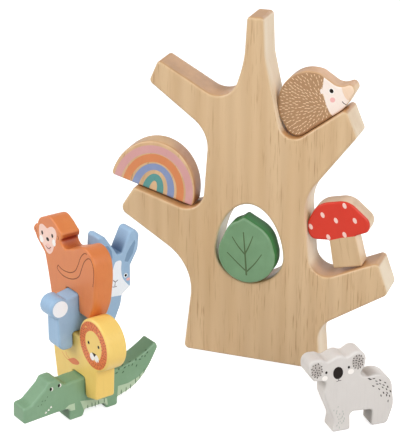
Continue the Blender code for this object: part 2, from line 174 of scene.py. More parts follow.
class Graph(Net):
    """A material and its nodes."""

    def __init__(self, name):
        self.material = bpy.data.materials.new(name)
        self.material.use_nodes = True
        super().__init__(self.material.node_tree)
        self.surface = self.tree.nodes["Principled BSDF"]

    def mix(self, share, one, other):
        """A colour between two colours, past the node's inputs for other kinds."""
        others = [None] * 5
        return self.node("ShaderNodeMix", {"data_type": "RGBA"}, share, *others, one, other)[2]

    def board_place(self, stretch):
        """Where a point is on its board (across, deep, up), stretched along each."""
        place = self.node("ShaderNodeAttribute", {"attribute_name": "board"})[1]
        return self.vector("MULTIPLY", place, stretch)

    def noise(self, stretch, scale, detail, rough):
        """Noise that runs through the board, stretched along its three directions."""
        named = {"Scale": scale, "Detail": detail, "Roughness": rough}
        return self.node("ShaderNodeTexNoise", None, self.board_place(stretch), **named)[0]

    def edge(self):
        """One along the board's rims, falling to nothing a little way in."""
        return self.node("ShaderNodeAttribute", {"attribute_name": "edge"})[2]

    def openness(self, reach):
        """One in the open, and less in the board's own notches and arches."""
        own = {"samples": 16, "only_local": True}
        return self.node("ShaderNodeAmbientOcclusion", own, Distance=reach)[1]

    def facing(self, way):
        """How squarely the surface faces along a direction, either way round."""
        normal = self.node("ShaderNodeNewGeometry")[1]
        dot = {"operation": "DOT_PRODUCT"}
        return self.node("ShaderNodeVectorMath", dot, normal, way)[1].maths("ABSOLUTE")


def linear(*colour):
    """A screen colour of 0 to 255 as the linear colour a material takes."""
    shares = [value / 255 for value in colour]
    curve = [((share + 0.055) / 1.055) ** 2.4 for share in shares]
    made = [low / 12.92 if low <= 0.04045 else high for low, high in zip(shares, curve)]
    return (*made, 1.0)


print("fields ready for the finishes")

# %% [markdown]
# The tree is pale wood under a clear coat. On the real board, the fibres run up the trunk:
# they show as soft bands, faint growth rings, narrow streaks and short dark pores. A
# photograph of wood could be wrapped round it, but it would smear on the sides. Noise in
# three dimensions runs through the board as the fibres do, so it is stretched along the
# height, and the front, the sides and the hollow all agree. Where the saw cut along the
# fibres the sides are paler, and where it cut across them they are darker.

# %% Wood
# Each pattern: how it is stretched across, into and up the board, its scale, its detail,
# its roughness, and the run of its values that shows.
PATTERNS = {
    "bands": ((1.0, 0.6, 0.07), 60.0, 3.0, 0.6, (0.36, 0.70)),
    "streaks": ((1.0, 0.6, 0.04), 480.0, 3.0, 0.65, (0.57, 0.73)),
    "patches": ((1.0, 0.6, 0.3), 45.0, 1.0, 0.5, (0.42, 0.60)),
    "pores": ((1.0, 1.0, 0.04), 950.0, 2.0, 0.6, (0.57, 0.70)),
}
WOOD_FIBRES = ((1.0, 1.0, 0.03), 1500.0, 2.0, 0.6)
RING_STRETCH = (1.0, 0.4, 0.10)
RINGS = {"Scale": 22.0, "Distortion": 7.0, "Detail": 2.0, "Detail Scale": 0.8}
BAND_SHARE, RING_SHARE, STREAK_SHARE, PORE_SHARE = 0.55, 0.14, 0.46, 0.6
# The first share lightens the wood along its rims, as a painted highlight with some wear.
RIM_HIGHLIGHT_AND_WEAR_SHARE, WALL_BAND_SHARE = 0.2, 0.5
FRONT_RUN = (0.35, 0.9)
GRAIN_DEPTH = 0.0002
WOOD_BUMP, WOOD_COAT, WOOD_ROUGH, ROUGHER, COAT_ROUGH = 0.25, 0.10, 0.42, 0.12, 0.3
UPRIGHT = (0, 0, 1)
ACROSS_BOARD = (0, 1, 0)


def finish(graph, colour, roughness, height, bump, coat):
    """Puts colour, roughness, bump and a clear coat on the material's surface."""
    heights = {"Strength": bump, "Distance": GRAIN_DEPTH, "Height": height}
    normal = graph.node("ShaderNodeBump", None, **heights)[0]
    looks = {"Base Color": colour, "Roughness": roughness, "Normal": normal}
    graph.fill(graph.surface, looks | {"Coat Weight": coat, "Coat Roughness": COAT_ROUGH})


def wood(name, end_run, pale, middle, dark, side, end):
    """Bare wood under a thin coat, with the fibres' ends where walls look up or down."""
    graph = Graph(name)
    layers = [graph.noise(*noise).to(*run) for *noise, run in PATTERNS.values()]
    bands, streaks, patches, pores = layers
    pores = pores * patches
    fibres = graph.noise(*WOOD_FIBRES)
    arched = {"wave_type": "BANDS", "bands_direction": "X"}
    place = graph.board_place(RING_STRETCH)
    rings = graph.node("ShaderNodeTexWave", arched, place, **RINGS)[1]
    colour = graph.mix(bands * BAND_SHARE, pale, middle)
    for layer, share in ((rings, RING_SHARE), (streaks, STREAK_SHARE), (pores, PORE_SHARE)):
        colour = graph.mix(layer * share, colour, dark)
    cut = graph.facing(UPRIGHT).to(*end_run)
    plain, banded = graph.mix(cut, side, end), graph.mix(cut, middle, dark)
    wall = graph.mix(bands * WALL_BAND_SHARE, plain, banded)
    colour = graph.mix(1 - graph.facing(ACROSS_BOARD).to(*FRONT_RUN), colour, wall)
    # Paler along the rims: a painted highlight, with some wear.
    colour = graph.mix(graph.edge() * RIM_HIGHLIGHT_AND_WEAR_SHARE, colour, pale)
    roughness = WOOD_ROUGH + streaks * ROUGHER
    finish(graph, colour, roughness, fibres * 0.5 + pores * -0.5, WOOD_BUMP, WOOD_COAT)
    return graph.material


print("wood patterns:", ", ".join(PATTERNS))

# %% [markdown]
# The loose pieces are wood under thin satin paint or printer's ink. A flat colour would look
# like plastic, so the paint lets a little of the grain through, is a touch uneven, and is
# paler along its rims, partly as rubbed wear and partly as a painted highlight. In a notch or
# an arch the colour is painted darker and deeper, as painted shade, the way light that bounces
# about there takes on the paint's own colour: an Ambient Occlusion node that sees only the
# board itself measures how hemmed in each spot is, and the boards can still be moved. Each
# colour is written as it shows on a screen. The darkest inks are matt, or they would turn grey
# under the lamps.


# %% Paint
PAINT_FIBRES = ((1.0, 1.0, 0.06), 620.0, 3.0, 0.6)
PAINT_CLOUD = ((1.0, 1.0, 1.0), 55.0, 3.0, 0.55)
PAINT_SPECK = ((1.0, 1.0, 1.0), 900.0, 1.0, 0.5)
# The third run and share set the paler rims, which are rubbed wear and a painted highlight.
CLOUD_RUN, GRAIN_RUN, WEAR_AND_HIGHLIGHT_RUN = (0.40, 0.75), (0.50, 0.80), (0.35, 0.65)
CLOUD_SHARE, GRAIN_SHARE, WEAR_AND_HIGHLIGHT_SHARE = 0.30, 0.18, 0.15
PAINT_BUMP, PAINT_COAT, PAINT_ROUGH = 0.15, 0.12, 0.42
PALE_REACH = 640
DEEP_SHARE = 0.84
DARK_INK = 130
INK_GLOSS = 0.15
# The painted shade in notches and arches: how far it looks, how dark and deep its colour is,
# and the run of openness over which it fades in.
NOTCH_SHADE_REACH = 0.03
NOTCH_SHADE_DEPTH = 0.8
NOTCH_SHADE_POWER = 2.2
NOTCH_SHADE_RUN = (0.45, 0.95)


def paint(name, colour):
    """Satin paint or ink of a colour from 0 to 255."""
    graph = Graph(name)
    pale = linear(*[value + (255 - value) * value / PALE_REACH for value in colour])
    deep = linear(*[value * DEEP_SHARE for value in colour])
    # The darker, deeper tone of the colour that stands for painted shade.
    notch_shade_colour = linear(*[255 * NOTCH_SHADE_DEPTH * (value / 255) ** NOTCH_SHADE_POWER for value in colour])
    noises = (PAINT_FIBRES, PAINT_CLOUD, PAINT_SPECK)
    fibres, cloud, speck = [graph.noise(*noise) for noise in noises]
    mixed = graph.mix(cloud.to(*CLOUD_RUN) * CLOUD_SHARE, linear(*colour), pale)
    mixed = graph.mix(fibres.to(*GRAIN_RUN) * GRAIN_SHARE, mixed, deep)
    # Paler along the rims: rubbed wear, and a painted highlight.
    mixed = graph.mix(graph.edge() * cloud.to(*WEAR_AND_HIGHLIGHT_RUN) * WEAR_AND_HIGHLIGHT_SHARE, mixed, pale)
    # Painted shade: where the board hems itself in, in its notches and arches, the colour
    # turns to the darker tone.
    mixed = graph.mix(graph.openness(NOTCH_SHADE_REACH).to(*NOTCH_SHADE_RUN), notch_shade_colour, mixed)
    roughness = PAINT_ROUGH + cloud * ROUGHER
    finish(graph, mixed, roughness, fibres * 0.5 + speck * 0.3, PAINT_BUMP, PAINT_COAT)
    if max(colour) < DARK_INK:
        graph.fill(graph.surface, {"Specular IOR Level": INK_GLOSS, "Coat Weight": 0.0})
    return graph.material


# The deeper colour in notches is painted shade.
print("paint grows deeper in notches within", NOTCH_SHADE_REACH, "m")

# %% [markdown]
# Here are all the colours, as they show on a screen. A wood has five: its pale ground, its
# soft bands, its dark streaks, its walls along the fibres, and its walls across them. The tree
# is pine, the mushroom raw, the hedgehog honey and the rainbow tan. Each colour was first read
# from the photograph and then moved until the render agreed. One table is easier to adjust
# than numbers spread through the script.

# %% Colours
PINE_FACE = [(215, 184, 143), (205, 170, 126), (156, 110, 66)]
BARE_FACE = [(211, 180, 139), (197, 164, 122), (160, 118, 76)]
TAN_FACE = [(222, 186, 144), (206, 166, 120), (150, 100, 56)]
WOODS = {
    "pine": [*PINE_FACE, (234, 215, 186), (190, 141, 90)],
    "raw": [*BARE_FACE, (238, 209, 172), (220, 186, 150)],
    "honey": [*BARE_FACE, (234, 202, 160), (212, 160, 112)],
    # The rainbow's walls are dark brown, as painted shade from the trunk beside them; only
    # walls that face nearly straight up or down take the paler colour.
    "tan": [*TAN_FACE, (154, 92, 40), (208, 168, 118)],
}
END_RUN, TAN_WALL_SHADE_RUN = (0.30, 0.85), (0.72, 1.0)
PAINTS = {
    "leaf": (108, 147, 108),
    # The leaf's sides: its green darkened as painted shade in the hollow.
    "leaf_side": (54, 124, 64),
    "vein": (84, 104, 72),
    "brown": (168, 127, 88),
    "cream": (236, 206, 168),
    "face_pink": (246, 230, 219),
    "peach": (240, 208, 178),
    "ink": (24, 15, 11),
    "band_pink": (214, 160, 158),
    "band_orange": (218, 136, 86),
    "band_blue": (134, 150, 190),
    "band_teal": (88, 152, 148),
    "red": (208, 40, 6),
    "dot": (244, 205, 194),
    "crocodile": (121, 158, 124),
    # The crocodile's sides: its green darkened as painted shade under the stacked boards.
    "croc_side": (112, 150, 114),
    "croc_belly": (182, 203, 172),
    "croc_dark": (72, 104, 76),
    "lion": (242, 204, 108),
    "mane": (221, 114, 50),
    "mane_dark": (174, 74, 26),
    "rabbit": (148, 181, 212),
    "rabbit_dark": (112, 144, 176),
    "white": (239, 247, 255),
    "monkey": (213, 120, 58),
    "monkey_face": (246, 206, 190),
    "monkey_dark": (104, 46, 14),
    "koala": (216, 210, 205),
    "koala_mid": (188, 180, 174),
    "koala_dark": (62, 54, 50),
    "koala_light": (182, 184, 176),
    "blush": (240, 176, 172),
    "muzzle": (242, 190, 176),
    "milk": (250, 244, 238),
    "soot": (96, 90, 92),
}
FINISHES = {name: paint(name, colour) for name, colour in PAINTS.items()}
for name, colours in WOODS.items():
    # For the rainbow's tan, most walls take the dark colour of the painted shade.
    end_run = TAN_WALL_SHADE_RUN if name == "tan" else END_RUN
    FINISHES[name] = wood(name, end_run, *[linear(*colour) for colour in colours])
print("finishes:", len(FINISHES))

# %% [markdown]
# Each piece is a flat board, sawn out, with its rims rounded over. A Bevel modifier could
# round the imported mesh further, but its outline is made of short straight runs that would
# still show. So the outline is read back out of the mesh: the widest flat side gives the
# way the board faces, and the edges at the depth where its rim starts give its loops. Each
# loop is then made finer along its bends, and left alone where it runs straight. `STACK`
# and the other origins are the places where the boards were drawn.

# %% Find a board
SAME_POINT = 0.000001
LEVEL = 0.00003
WALL_LEAN = 0.02
RIM_STEPS = 5
RIM_LIP = 0.0002
FINE_TURN = math.radians(4)
CORNER_TURN = math.radians(40)


def merged(mesh):
    """The mesh with the points that lie on each other made one."""
    shape = bmesh.new()
    shape.from_mesh(mesh)
    bmesh.ops.remove_doubles(shape, verts=shape.verts, dist=SAME_POINT)
    shape.normal_update()
    return shape


def chained(pairs):
    """Closed loops of points from loose pairs of neighbours."""
    beside = {}
    for one, other in pairs:
        beside.setdefault(one, []).append(other)
        beside.setdefault(other, []).append(one)
    loops = []
    while beside:
        loop = [next(iter(beside))]
        while loop[-1] in beside:
            ahead = [point for point in beside.pop(loop[-1]) if point not in loop[-2:-1]]
            loop.append(ahead[0])
        loops.append(loop[:-1])
    return loops


def unit(rows):
    """Each flat direction, made one long."""
    return rows / np.linalg.norm(rows, axis=1)[:, None]


def left(rows):
    """Each flat direction, turned a quarter to its left."""
    return np.stack((-rows[:, 1], rows[:, 0]), 1)


class Board:
    """Where a flat board is, how it faces and what its outlines are."""

    def __init__(self, name, origin, tilt=0.0):
        self.name = name
        shape = merged(nodes[name].data)
        widest = max(shape.faces, key=lambda face: face.calc_area())
        front = Vector((widest.normal.x, widest.normal.y, 0)).normalized()
        middle = sum((v.co for v in shape.verts), Vector()) / len(shape.verts)
        if front.dot(Vector(CAMERA_PLACE) - middle) < 0:
            front = -front
        right = Vector(UPRIGHT).cross(front)
        self.front = front
        self.right = right * math.cos(tilt) + Vector((0, 0, math.sin(tilt)))
        self.up = Vector((0, 0, math.cos(tilt))) - right * math.sin(tilt)
        self.origin = Vector(origin) * MM
        depths = [round(self.out(v.co), 5) for v in shape.verts]
        self.near, self.far = max(depths), min(depths)
        start, loops = self.widest_loops(shape)
        self.rim = self.near - start
        self.loops = [self.refined(loop) for loop in loops]
        self.loops.sort(key=lambda loop: -abs(area(loop)))
        shape.free()

    def flat(self, point):
        """How far a point is across and up the board."""
        away = point - self.origin
        return away.dot(self.right), away.dot(self.up)

    def out(self, point):
        """How far a point is out of the board, towards its front."""
        return (point - self.origin).dot(self.front)

    def widest_loops(self, shape):
        """The depth where the front rim starts, and the loops of edges that lie there."""
        found = {}
        for edge in shape.edges:
            depth, other = (self.out(v.co) for v in edge.verts)
            walls = {abs(f.normal.dot(self.front)) < WALL_LEAN for f in edge.link_faces}
            if abs(other - depth) > LEVEL or len(walls) < 2:
                continue
            key = next((k for k in found if abs(k - depth) < LEVEL), depth)
            found.setdefault(key, []).append(tuple(edge.verts))
        start = max(found)
        return start, [[self.flat(v.co) for v in loop] for loop in chained(found[start])]

    def refined(self, loop):
        """The outline with its arcs made finer, and the same straight runs."""
        points = np.array(loop)
        if area(points) < 0:
            points = points[::-1]
        low, high = points.min(0), points.max(0)
        after = np.roll(points, -1, 0) - points
        length = np.linalg.norm(after, axis=1)[:, None]
        way = after / length
        before = np.roll(way, 1, 0)
        tangent = unit(before * np.roll(length, 1, 0) ** 2 + way * length**2)
        made = []
        for i in range(len(points)):
            j = (i + 1) % len(points)
            leave = way[i] if turn(before[i], way[i]) > CORNER_TURN else tangent[i]
            arrive = way[i] if turn(way[i], way[j]) > CORNER_TURN else tangent[j]
            bend = turn(leave, arrive)
            steps = max(1, math.ceil(bend / FINE_TURN))
            span = float(length[i, 0])
            for t in (step / steps for step in range(steps)):
                spot = points[i] * (2 * t**3 - 3 * t**2 + 1)
                spot = spot + leave * span * (t**3 - 2 * t**2 + t)
                spot = spot + points[j] * (-2 * t**3 + 3 * t**2)
                spot = spot + arrive * span * (t**3 - t**2)
                made.append(np.clip(spot, low, high))
        return np.array(made)

    def place(self, across, up, depth):
        """The point this far across, up and out of the board."""
        return self.origin + self.right * across + self.up * up + self.front * depth


def area(loop):
    """The area inside a loop, below zero when it runs clockwise."""
    x, z = np.array(loop).T
    return float((x * np.roll(z, -1) - z * np.roll(x, -1)).sum()) / 2


def turn(one, other):
    """The angle between two directions."""
    cross = one[0] * other[1] - one[1] * other[0]
    return abs(math.atan2(cross, float(one[0] * other[0] + one[1] * other[1])))


STACK = (-88.9, -131.6, 0)
STACK_TURN = math.radians(55.9)


def rotated(x, y, angle):
    """A flat point turned about zero."""
    cosine, sine = math.cos(angle), math.sin(angle)
    return x * cosine - y * sine, x * sine + y * cosine


def in_stack(across, deep):
    """A place in the stack, whose boards stand at a turn to the tree."""
    x, y = rotated(across, deep, STACK_TURN)
    return STACK[0] + x, STACK[1] + y, 0


BOARDS = {
    "tree": Board("tree", (0, 0, 0)),
    "leaf": Board("leaf", (0, 0, 0)),
    "hedgehog": Board("hedgehog", (34.34, 0, 189.52), math.radians(37.39)),
    "rainbow": Board("rainbow", (-85.22, 0, 131.21), math.radians(-15.22)),
    "mushroom": Board("mushroom", (75.66, 0, 89.68), math.radians(13.07)),
    "crocodile": Board("crocodile", STACK),
    "lion": Board("lion", STACK),
    "rabbit": Board("rabbit", STACK),
    "monkey": Board("monkey", in_stack(4.6, 13)),
    "koala": Board("koala", (104.2, -85.2, 0)),
}
for board in BOARDS.values():
    size = board.loops[0].max(0) - board.loops[0].min(0)
    print(board.name, "faces", [round(v, 3) for v in board.front],
          "size", (size * 1000).round(1), "rim", round(board.rim * 1000, 2))

# %% [markdown]
# The real pictures are printed flat on the wood in a few inks, without shading. An image
# could be laid over the front, but it blurs close up. Here a picture is a list of outlines
# in millimetres, each with its ink, and later shapes lie over earlier ones. These helpers
# make the outlines: ovals, soft blobs through a few points, strokes with round ends, and
# the bands of a rainbow.


# %% Shapes
SOFT_STEPS = 6
BAND_STEPS = 32
CAP_STEPS = 6


def oval(middle, wide, high, lean=0.0, count=28):
    """An oval with these half sizes, leaning by some degrees."""
    made = []
    for i in range(count):
        angle = math.tau * i / count
        spot = wide * math.cos(angle), high * math.sin(angle)
        across, up = rotated(*spot, math.radians(lean))
        made.append((middle[0] + across, middle[1] + up))
    return made


def soft(points, closed=True):
    """A smooth line through the points."""
    before, after = (points[-1], points[:2]) if closed else (points[0], [points[-1]])
    knots = np.array([before, *points, *after], float)
    made = []
    for a, b, c, d in zip(knots, knots[1:], knots[2:], knots[3:]):
        for t in (step / SOFT_STEPS for step in range(SOFT_STEPS)):
            spot = b * 2 + (c - a) * t
            spot = spot + (a * 2 - b * 5 + c * 4 - d) * t * t
            spot = spot + (b * 3 - a - c * 3 + d) * t**3
            made.append(tuple(spot / 2))
    return made if closed else [*made, tuple(points[-1])]


def stroke(points, wide, end_wide=None):
    """A line of ink with round ends, which may taper to another width."""
    line = np.array(soft(points, False) if len(points) > 2 else points, float)
    end_wide = wide if end_wide is None else end_wide
    way = unit(np.gradient(line, axis=0))
    half = np.linspace(wide, end_wide, len(line))[:, None] / 2
    above, below = line + left(way) * half, line - left(way) * half
    caps = []
    for spot, heading, radius in ((line[-1], way[-1], half[-1]), (line[0], -way[0], half[0])):
        first = math.atan2(heading[1], heading[0]) + math.pi / 2
        angles = [first - math.pi * i / CAP_STEPS for i in range(1, CAP_STEPS)]
        caps.append([spot + radius * np.array((math.cos(a), math.sin(a))) for a in angles])
    return [tuple(p) for p in [*above, *caps[0], *below[::-1], *caps[1]]]


def band(middle, inner, outer):
    """Half a ring between two half ovals, each given as (half width, height)."""
    arcs = []
    for wide, high in (outer, inner):
        angles = [math.pi * i / BAND_STEPS for i in range(BAND_STEPS + 1)]
        arcs.append([(middle + wide * math.cos(a), high * math.sin(a)) for a in angles])
    return arcs[0] + arcs[1][::-1]


# %% [markdown]
# One closed mesh holds a board's front, its back, its walls and the rounded rims. Pictures
# could be thin sheets laid on the wood, but these flicker where they touch it, and the ink
# has no thickness anyway. So the front is cut along the outline, along rings that follow
# the rim, and along every printed shape, by a triangulation that keeps all those lines.
# Each triangle then knows its ink, and falls back with the rim where it lies near the edge.
# Two values are kept on the points for the finishes: the place on the board and the rim.


# %% Build a board
EDGE_REACH = 0.002
SAME_SPOT = 1e-7
AT_ONCE = 400
LEAST_LEAN = 0.6
SHARP_TURN = math.radians(38)


def rim_drop(distance, rim):
    """How far the surface has fallen back at this distance from the outline."""
    inside = np.clip(rim - distance, 0, rim)
    return rim - np.sqrt(np.maximum(rim * rim - inside * inside, 0))


def distance_to(loops, points):
    """The distance of each point from the nearest outline."""
    nearest = np.full(len(points), 1e9)
    for loop in loops:
        ends = np.roll(loop, -1, 0)
        run = ends - loop
        square = (run * run).sum(1)
        for i in range(0, len(points), AT_ONCE):
            some = slice(i, i + AT_ONCE)
            away = points[some, None, :] - loop[None]
            share = np.clip((away * run[None]).sum(2) / square, 0, 1)
            gap = np.linalg.norm(away - share[..., None] * run[None], axis=2).min(1)
            nearest[some] = np.minimum(nearest[some], gap)
    return nearest


def ring(loop, amount, hole):
    """The outline moved into the board by an amount."""
    before = unit(loop - np.roll(loop, 1, 0))
    after = unit(np.roll(loop, -1, 0) - loop)
    inward = unit(left(before + after))
    lean = (inward * left(before)).sum(1)
    moved = inward / np.maximum(lean, LEAST_LEAN)[:, None] * amount
    return loop + moved * (-1 if hole else 1)


def face_sheet(board, shapes, ground):
    """Flat points, triangles and the ink of each triangle, for one side of a board."""
    points, lines, areas, kinds = [], [], [], []

    def add(loop, kind=None):
        first, count = len(points), len(loop)
        loop = loop[::-1] if kind and area(loop) < 0 else loop
        points.extend((float(x), float(z)) for x, z in loop)
        if kind:
            kinds.append(kind)
            areas.append([first + i for i in range(count)])
        else:
            lines.extend((first + i, first + (i + 1) % count) for i in range(count))

    for number, loop in enumerate(board.loops):
        add(loop, "hole" if number else "board")
    if ground:
        add(ring(board.loops[0], ground[1] * MM, False), ground[0])
    falls = [1 - math.sin(math.pi / 2 * i / RIM_STEPS) for i in range(1, RIM_STEPS)]
    amounts = [board.rim * fall for fall in falls] + [board.rim, board.rim + RIM_LIP]
    for number, loop in enumerate(board.loops):
        for amount in amounts:
            add(ring(loop, amount, number > 0))
    for ink, loop in shapes:
        add(np.array(loop) * MM, ink)
    made = delaunay_2d_cdt(points, lines, areas, 1, SAME_SPOT)
    flat = np.array([(p.x, p.y) for p in made[0]])
    outline = {source: number for number, sources in enumerate(made[3]) for source in sources}
    triangles, inks = [], []
    for corners, owners in zip(made[2], made[5]):
        held = [kinds[owner] for owner in owners]
        if "board" not in held or "hole" in held:
            continue
        triangles.append(list(corners))
        drawn = [kinds[owner] for owner in sorted(owners) if kinds[owner] != "board"]
        clear = not drawn or (ground and ground[0] != drawn[0])
        inks.append(None if clear else drawn[-1])
    count = sum(len(loop) for loop in board.loops)
    return flat, triangles, inks, [outline[i] for i in range(count)]


def wall_faces(sheets, outlines, rings):
    """The faces of the board's sides, in three strips with a ring of points between."""
    faces = []
    for side in (0, 1):
        edges = {(t[i], t[(i + 1) % 3]) for t in sheets[side] for i in range(3)}
        after = {one: other for one, other in edges if (other, one) not in edges}
        partner = dict(zip(outlines[side], rings[side]))
        across = dict(zip(rings[side], rings[1 - side]))
        for start in outlines[side]:
            chain = [start, after[start]]
            while chain[-1] not in partner:
                chain.append(after[chain[-1]])
            first, last = partner[start], partner[chain[-1]]
            strip = chain + [last, first]
            faces.append(strip if side else strip[::-1])
            if not side:
                faces.append([last, first, across[first], across[last]])
    return faces


def keep(mesh, name, kind, values):
    """Keeps a value on each point of the mesh, for the finishes to read."""
    field = "vector" if kind == "FLOAT_VECTOR" else "value"
    kept = mesh.attributes.new(name, kind, "POINT")
    kept.data.foreach_set(field, np.array(values).ravel())


def make_board(name, base, shapes=(), ground=None, side=None):
    """The finished board: its base finish, the printed ground and the printed shapes."""
    board = BOARDS[name]
    points, places, edges, faces, inks = [], [], [], [], []
    sheets, outlines, rings = [], [], []

    def add(x, z, deep, edge):
        points.append(board.place(x, z, deep))
        places.append((x, deep, z))
        edges.append(edge)

    sides = ((1, board.near, shapes, ground), (-1, board.far, (), None))
    for facing, level, drawn, under in sides:
        flat, triangles, owners, outline = face_sheet(board, drawn, under)
        away = distance_to(board.loops, flat)
        drop = rim_drop(away, board.rim)
        first = len(points)
        for (x, z), fall, gap in zip(flat.tolist(), drop.tolist(), away.tolist()):
            add(x, z, level - fall * facing, max(0.0, 1 - gap / EDGE_REACH))
        sheets.append([[first + i for i in corners] for corners in triangles])
        outlines.append([first + i for i in outline])
        faces += [corners[::facing] for corners in sheets[-1]]
        inks += [owner or base for owner in owners]
    for facing, level, *_ in sides:
        rings.append([])
        for x, z in np.concatenate(board.loops).tolist():
            rings[-1].append(len(points))
            add(x, z, level - (board.rim + EDGE_REACH) * facing, 0.0)
    walls = wall_faces(sheets, outlines, rings)
    faces += walls
    inks += [side or base] * len(walls)
    names = list(dict.fromkeys([base, *inks]))
    mesh = bpy.data.meshes.new(name + "_board")
    low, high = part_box(name)
    mesh.from_pydata(np.clip(np.array(points), low, high).tolist(), [], faces)
    for ink in names:
        mesh.materials.append(FINISHES[ink])
    mesh.polygons.foreach_set("material_index", [names.index(ink) for ink in inks])
    keep(mesh, "board", "FLOAT_VECTOR", places)
    keep(mesh, "edge", "FLOAT", edges)
    mesh.shade_smooth()
    mesh.set_sharp_from_angle(angle=SHARP_TURN)
    made = added(name + "_board", mesh)
    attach(made, name)
    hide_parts(name)
    print(made.name, len(mesh.polygons), "faces,", len(names), "finishes")


# %% [markdown]
# The hedgehog's bristles, the lion's flecks and the crocodile's scales are one small mark
# of ink, printed many times over. Each could be drawn as a shape of its own, but what
# repeats is work for Geometry Nodes. One tree scatters marks over a region, evenly spaced.
# The other sets one mark on each point of a list, where the photograph shows where they
# lie. In both, every mark points away from a centre, strays from that a little, and is one
# thin closed pill of ink, sunk half way into the board. The result is made a plain mesh, so
# that it travels with its board.

# %% Repeated marks
MARK_SIDES = 8
MARK_THICK = 0.10
MOST_MARKS = 8.0
MARK_INPUTS = {
    "Centre": "Vector",
    "Spacing": "Float",
    "Size": "Vector",
    "Uneven": "Float",
    "Stray": "Float",
    "Seed": "Int",
    "Ink": "Material",
}


def marks_tree(name, scattered):
    """A tree of nodes that prints marks, scattered over a sheet or one on each point."""
    tree = bpy.data.node_groups.new(name, "GeometryNodeTree")
    sockets = [("INPUT", "Geometry", "Geometry")]
    sockets += [("INPUT", label, kind) for label, kind in MARK_INPUTS.items()]
    for way, label, kind in [*sockets, ("OUTPUT", "Geometry", "Geometry")]:
        tree.interface.new_socket(label, in_out=way, socket_type="NodeSocket" + kind)
    net = Net(tree)
    given = net.node("NodeGroupInput")
    sheet, centre, spacing, size, uneven, stray, seed, ink = given[:8]
    if scattered:
        evenly = {"distribute_method": "POISSON"}
        named = {"Distance Min": spacing, "Density Max": MOST_MARKS, "Seed": seed}
        spots = net.node("GeometryNodeDistributePointsOnFaces", evenly, sheet, **named)[0]
    else:
        spots = net.node("GeometryNodeMeshToPoints", {"mode": "VERTICES"}, sheet)[0]
    place = net.node("GeometryNodeInputPosition")[0]
    outward = net.vector("NORMALIZE", net.vector("SUBTRACT", place, centre))
    sway = {"data_type": "FLOAT_VECTOR"}
    shake = net.node("FunctionNodeRandomValue", sway, stray * -1, stray, Seed=seed)[0]
    aim = {"axis": "X", "pivot_axis": "Z"}
    heading = net.vector("ADD", outward, shake)
    turned = net.node("FunctionNodeAlignRotationToVector", aim, Vector=heading)[0]
    swing = {"data_type": "FLOAT"}
    least, most = 1 - uneven, uneven + 1
    longer = net.node("FunctionNodeRandomValue", swing, None, None, least, most, Seed=seed)[1]
    stretch = net.node("ShaderNodeCombineXYZ", None, longer, 1.0, 1.0)[0]
    pill = net.node("GeometryNodeMeshCylinder", None, MARK_SIDES, 1, 1, 0.5, 1.0)[0]
    sized = net.vector("MULTIPLY", size, stretch)
    named = {"Instance": pill, "Rotation": turned, "Scale": sized}
    placed = net.node("GeometryNodeInstanceOnPoints", None, spots, **named)[0]
    real = net.node("GeometryNodeRealizeInstances", None, placed)[0]
    inked = net.node("GeometryNodeSetMaterial", None, real, Material=ink)[0]
    net.node("NodeGroupOutput", None, inked)
    return tree


SCATTERED = marks_tree("scattered marks", True)
PLACED = marks_tree("placed marks", False)


def add_marks(name, board_name, ink, spots, faces, size, centre, spacing=0, uneven=0.25,
              stray=0.1, seed=1):
    """Prints marks on a board: on each of the spots, or scattered over their faces."""
    board = BOARDS[board_name]
    tree = SCATTERED if faces else PLACED
    sheet = bpy.data.meshes.new(name)
    sheet.from_pydata([(x, z, 0.0) for x, z in spots], [], faces)
    host = added(name + "_host", sheet)
    live = host.modifiers.new("marks", "NODES")
    live.node_group = tree
    values = ((*centre, 0.0), float(spacing), (*size, MARK_THICK), uneven, stray, seed)
    values = dict(zip(MARK_INPUTS, (*values, FINISHES[ink])))
    for item in tree.interface.items_tree:
        if item.in_out == "INPUT" and item.name in values:
            live[item.identifier] = values[item.name]
    bpy.context.view_layer.update()
    ready = host.evaluated_get(bpy.context.evaluated_depsgraph_get())
    mesh = bpy.data.meshes.new_from_object(ready)
    bpy.data.objects.remove(host)
    places = []
    for point in mesh.vertices:
        across, up, out = point.co * MM
        places.append((across, board.near + out, up))
        point.co = board.place(across, up, board.near + out)
    keep(mesh, "board", "FLOAT_VECTOR", places)
    made = added(name, mesh)
    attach(made, board_name)
    print(name, len(mesh.vertices) // (2 * MARK_SIDES), "marks")


def region(board_name, shapes, kept, ground=None):
    """The points and faces of one printed shape that the later shapes leave showing."""
    flat, triangles, inks, _ = face_sheet(BOARDS[board_name], shapes, ground)
    faces = [corners for corners, ink in zip(triangles, inks) if ink == kept]
    used = sorted({i for corners in faces for i in corners})
    renumbered = {old: new for new, old in enumerate(used)}
    return (flat[used] / MM).tolist(), [[renumbered[i] for i in corners] for corners in faces]


# %% [markdown]
# The tree is bare wood and needs only its board. The leaf that stands in the hollow is painted
# green all round, with a middle vein and four side veins as thin tapering strokes, and its
# sides are a deeper green than its face, as painted shade from the hollow round them.

# %% Tree and leaf
make_board("tree", "pine")

VEINS = (
    (((-3.4, 74.3), (-4.7, 92), (-6.2, 109.5)), 1.5, 0.9),
    (((-4, 77.6), (-10.4, 82.9), (-19.2, 90.9)), 1.2, 0.7),
    (((-3.1, 77.1), (3.3, 84.6), (8.7, 93)), 1.2, 0.7),
    (((-5.2, 91.7), (-10.6, 97.7), (-15.3, 104.6)), 1.2, 0.7),
    (((-4.5, 92.3), (-1.3, 99.4), (1.5, 107.3)), 1.2, 0.7),
)
make_board("leaf", "leaf", [("vein", stroke(*vein)) for vein in VEINS], side="leaf_side")

